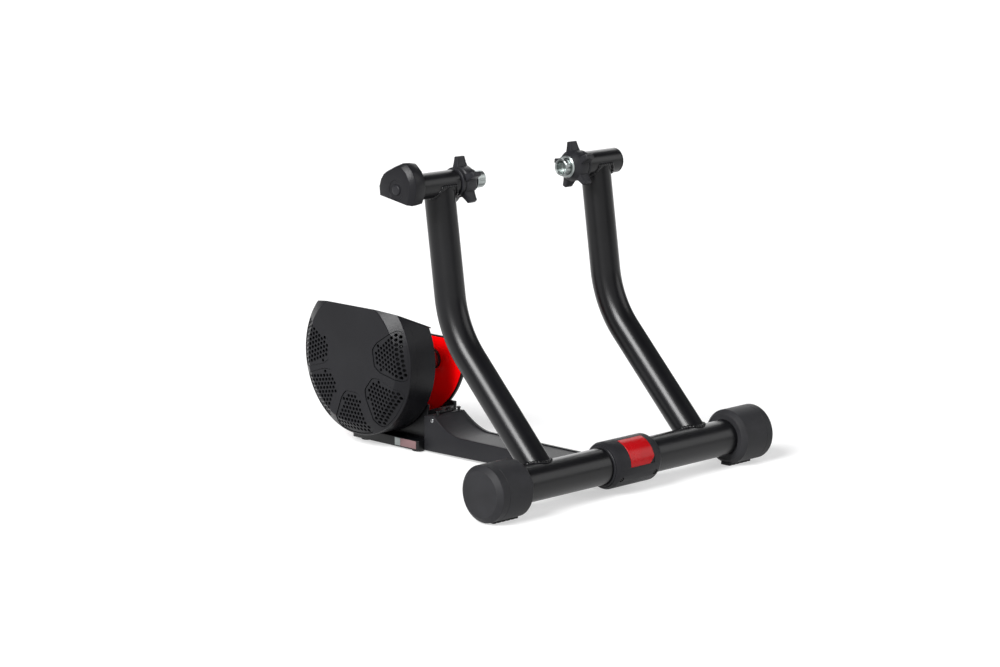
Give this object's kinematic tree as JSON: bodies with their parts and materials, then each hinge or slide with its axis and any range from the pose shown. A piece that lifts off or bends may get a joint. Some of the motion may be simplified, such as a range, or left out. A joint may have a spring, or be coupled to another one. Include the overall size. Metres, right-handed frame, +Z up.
{
  "type": "bike trainer",
  "caption": "Folding wheel-on bicycle trainer: crossbar on rubber feet, two bent uprights with an axle grip, and a roller unit with a vented resistance drum.",
  "frame": {"origin": "middle of the footprint on the floor", "axes": "+X to the right foot, +Y back towards the roller, +Z up"},
  "size_m": [0.5218, 0.5738, 0.4306],
  "materials": {
    "black_paint": "satin black powder coat",
    "rubber": "matte black rubber",
    "knob_plastic": "matte black plastic",
    "housing_plastic": "charcoal plastic with a fine grain",
    "beam_plastic": "black plastic with a fine grain",
    "zinc": "bright zinc plate",
    "steel": "plain turned steel",
    "red_gloss": "glossy red plastic",
    "label_paper": "blank printed label",
    "board_green": "circuit board"
  },
  "bodies": {
    "base": {"base_beam": "beam_plastic", "hinge_cap": "beam_plastic", "hinge_badge": "red_gloss", "hinge_liner_left": "knob_plastic", "hinge_liner_right": "knob_plastic", "hinge_screw_left": "steel", "hinge_screw_right": "steel", "ramp_bolt_left": "steel", "ramp_bolt_right": "steel", "ramp_screw_left": "steel", "ramp_screw_right": "steel", "ramp_clip": "steel", "base_plate": "black_paint", "base_pad_1": "rubber", "base_pad_2": "rubber", "base_pad_3": "rubber", "base_pad_4": "rubber", "blank_label": "label_paper", "vent_cover": "housing_plastic", "drum_shell": "housing_plastic", "drum_lid": "housing_plastic", "drum_side_plate": "black_paint", "roller_plate": "black_paint", "yoke": "black_paint", "red_panel_left": "red_gloss", "red_panel_right": "red_gloss", "bearing_left": "steel", "bearing_right": "steel", "bearing_cap": "knob_plastic", "brake_ring": "steel", "control_board": "board_green"},
    "arm_frame": {"crossbar": "black_paint", "foot_left": "rubber", "foot_right": "rubber", "foot_cap_left": "rubber", "foot_cap_right": "rubber", "foot_pad_left": "rubber", "foot_pad_right": "rubber", "upright_left": "black_paint", "upright_right": "black_paint", "axle_tube_left": "black_paint", "axle_tube_right": "black_paint", "tube_plug": "knob_plastic", "fixed_stud": "steel"},
    "roller_group": {"roller": "zinc", "roller_ring": "knob_plastic", "roller_shaft": "steel", "flywheel": "steel"},
    "cam": {"cam_knob": "housing_plastic", "cam_knob_cap": "knob_plastic"},
    "rod": {"push_rod": "steel"},
    "star_left": {"star_nut_left": "knob_plastic", "star_insert_left": "zinc"},
    "sleeve_left": {"axle_sleeve_left": "zinc"},
    "star_right": {"star_nut_right": "knob_plastic", "star_insert_right": "zinc"},
    "sleeve_right": {"axle_sleeve_right": "zinc"}
  },
  "joints": [
    {"name": "arm_fold", "type": "hinge", "parent": "base", "child": "arm_frame", "pos_m": [0, -0.25015, 0.0388], "axis": [1, 0, 0], "range_deg": [-34, 0]},
    {"name": "roller_spin", "type": "hinge", "parent": "base", "child": "roller_group", "pos_m": [0, 0.13135, 0.1167], "axis": [1, 0, 0], "continuous": true},
    {"name": "cam_turn", "type": "hinge", "parent": "arm_frame", "child": "cam", "pos_m": [-0.212, -0.06365, 0.396], "axis": [1, 0, 0], "range_deg": [0, 90]},
    {"name": "rod_push", "type": "slide", "parent": "arm_frame", "child": "rod", "axis": [1, 0, 0], "range_m": [0, 0.0121]},
    {"name": "star_left_turn", "type": "hinge", "parent": "rod", "child": "star_left", "pos_m": [-0.11, -0.06365, 0.396], "axis": [1, 0, 0], "range_deg": [-360, 720]},
    {"name": "sleeve_left_screw", "type": "slide", "parent": "rod", "child": "sleeve_left", "axis": [1, 0, 0], "range_m": [-0.0031, 0.0061]},
    {"name": "star_right_turn", "type": "hinge", "parent": "arm_frame", "child": "star_right", "pos_m": [0.1025, -0.06365, 0.396], "axis": [-1, 0, 0], "range_deg": [-300, 720]},
    {"name": "sleeve_right_screw", "type": "slide", "parent": "arm_frame", "child": "sleeve_right", "axis": [-1, 0, 0], "range_m": [-0.0026, 0.0061]}
  ],
  "couplings": [
    {"joint": "rod_push", "follows": "cam_turn", "m_per_rad": 0.0076394},
    {"joint": "sleeve_left_screw", "follows": "star_left_turn", "m_per_rad": 0.00047746},
    {"joint": "sleeve_right_screw", "follows": "star_right_turn", "m_per_rad": 0.00047746}
  ]
}
